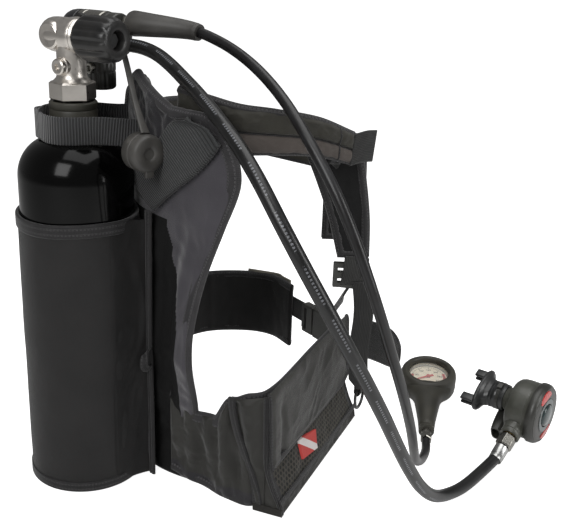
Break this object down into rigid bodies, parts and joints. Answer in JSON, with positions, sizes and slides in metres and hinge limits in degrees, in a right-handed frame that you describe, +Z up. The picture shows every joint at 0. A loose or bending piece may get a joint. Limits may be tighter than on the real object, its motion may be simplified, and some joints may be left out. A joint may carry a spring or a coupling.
{
  "type": "compact scuba breathing set",
  "caption": "Compact diving set: small gas cylinder in a fabric harness with valve, two-stage regulator, hoses, pressure gauge, pocket and waist buckle.",
  "frame": {"origin": "middle of the cylinder's base on the ground", "axes": "+Z up along the cylinder, +X towards the wearer's front, +Y towards the wearer's left"},
  "size_m": [0.582, 0.4611, 0.4787],
  "materials": {
    "black_gloss": "gloss black paint",
    "chrome": "bright chrome plate",
    "black_rubber": "satin black rubber",
    "grey_rubber": "satin grey rubber",
    "black_plastic": "satin black plastic",
    "nylon": "woven black nylon",
    "webbing": "woven dark webbing",
    "brass": "turned brass",
    "spring_steel": "bright steel",
    "dial_face": "cream dial",
    "needle_red": "red",
    "lens_clear": "clear lens",
    "button_blue": "glossy grey blue",
    "silicone": "soft black silicone"
  },
  "bodies": {
    "pack": {"cylinder_shell": "black_gloss", "valve_body": "chrome", "burst_disc_plug": "chrome", "valve_bonnet": "chrome", "first_stage_body": "chrome", "port_plug": "chrome", "gauge_hose_fitting": "chrome", "lp_fitting": "chrome", "lp_swivel_nut": "chrome", "gauge_swivel": "chrome", "piston_spring": "spring_steel", "first_stage_cap": "black_rubber", "lp_hose": "black_rubber", "gauge_hose": "black_rubber", "port_block": "black_plastic", "regulating_cap": "black_plastic", "strap_lock": "black_plastic", "buckle_socket": "black_plastic", "gauge_hose_sleeve": "grey_rubber", "cylinder_pouch": "nylon", "back_panel": "nylon", "shoulder_strap_right": "nylon", "chest_pad_right": "nylon", "shoulder_strap_left": "nylon", "chest_pad_left": "nylon", "waist_band_right": "nylon", "waist_band_left": "nylon", "pocket": "nylon", "waist_band_end": "nylon", "neck_strap": "webbing", "chest_webbing_right": "webbing", "strap_tail": "webbing", "d_ring_loop": "webbing"},
    "handwheel": {"valve_handwheel": "black_rubber", "handwheel_screw": "spring_steel", "valve_spindle": "spring_steel"},
    "connector": {"connector_handwheel": "black_rubber", "connector_stem": "chrome"},
    "piston": {"piston": "brass"},
    "second_stage": {"second_stage_case": "black_plastic", "second_stage_cover": "black_plastic", "air_barrel": "brass", "exhaust_valve": "silicone", "exhaust_tee": "black_plastic", "mouthpiece": "silicone", "mouthpiece_tie": "black_plastic"},
    "purge": {"purge_button": "button_blue", "diaphragm": "silicone"},
    "lever": {"demand_lever": "spring_steel"},
    "poppet": {"poppet": "black_plastic"},
    "gauge": {"gauge_boot": "black_rubber", "gauge_case": "spring_steel", "gauge_dial": "dial_face", "gauge_lens": "lens_clear"},
    "needle": {"gauge_needle": "needle_red"},
    "dust_cap": {"dust_cap_strap": "grey_rubber", "dust_cap": "grey_rubber"},
    "d_ring": {"d_ring": "spring_steel"},
    "pocket_flap": {"pocket_flap": "nylon"},
    "buckle_tongue": {"buckle_tongue": "black_plastic"}
  },
  "joints": [
    {"name": "valve_turn", "type": "hinge", "parent": "pack", "child": "handwheel", "pos_m": [0, 0, 0.457], "axis": [0.5962, -0.8028, 0], "range_deg": [0, 900]},
    {"name": "connector_turn", "type": "hinge", "parent": "pack", "child": "connector", "pos_m": [-0.00775, 0.01044, 0.457], "axis": [0.8028, 0.5962, 0], "range_deg": [0, 360]},
    {"name": "piston_slide", "type": "slide", "parent": "pack", "child": "piston", "axis": [-0.5962, 0.8028, 0], "range_m": [0, 0.0015]},
    {"name": "second_stage_swivel", "type": "hinge", "parent": "pack", "child": "second_stage", "pos_m": [0.43418, -0.15354, 0.0203], "axis": [0.788, 0.4477, 0.4226], "range_deg": [-50, 50]},
    {"name": "purge_press", "type": "slide", "parent": "second_stage", "child": "purge", "axis": [-0.4939, 0.8695, 0], "range_m": [0, 0.003], "stiffness_N_per_m": 400},
    {"name": "lever_tilt", "type": "hinge", "parent": "second_stage", "child": "lever", "pos_m": [0.47182, -0.13906, 0.03889], "axis": [-0.3675, -0.2087, 0.9063], "range_deg": [0, 10]},
    {"name": "poppet_slide", "type": "slide", "parent": "second_stage", "child": "poppet", "axis": [-0.788, -0.4477, -0.4226], "range_m": [0, 0.001]},
    {"name": "gauge_swivel_turn", "type": "hinge", "parent": "pack", "child": "gauge", "pos_m": [0.37204, -0.09364, 0.0075], "axis": [0.5126, 0.8464, 0.1444], "range_deg": [-90, 90]},
    {"name": "needle_sweep", "type": "hinge", "parent": "gauge", "child": "needle", "pos_m": [0.4345, 0.0095, 0.0261], "axis": [-0.0748, -0.1235, 0.9895], "range_deg": [-240, 0], "stiffness_Nm_per_rad": 0.0005},
    {"name": "dust_cap_swing", "type": "hinge", "parent": "pack", "child": "dust_cap", "pos_m": [0.03894, 0.02892, 0.4475], "axis": [0.5962, -0.8028, 0], "range_deg": [-6, 2]},
    {"name": "d_ring_swing", "type": "hinge", "parent": "pack", "child": "d_ring", "pos_m": [0.33573, 0.00833, 0.0287], "axis": [0.7132, 0.7009, 0], "range_deg": [-80, 80]},
    {"name": "flap_lift", "type": "hinge", "parent": "pack", "child": "pocket_flap", "pos_m": [0.14658, -0.15231, 0.133], "axis": [-0.7132, -0.7009, 0], "range_deg": [0, 22]},
    {"name": "buckle_release", "type": "slide", "parent": "pack", "child": "buckle_tongue", "axis": [-0.2381, 0.9713, 0], "range_m": [0, 0.022]}
  ],
  "couplings": [
    {"joint": "lever_tilt", "follows": "purge_press", "rad_per_m": 55.6},
    {"joint": "poppet_slide", "follows": "purge_press", "ratio": 0.333}
  ]
}
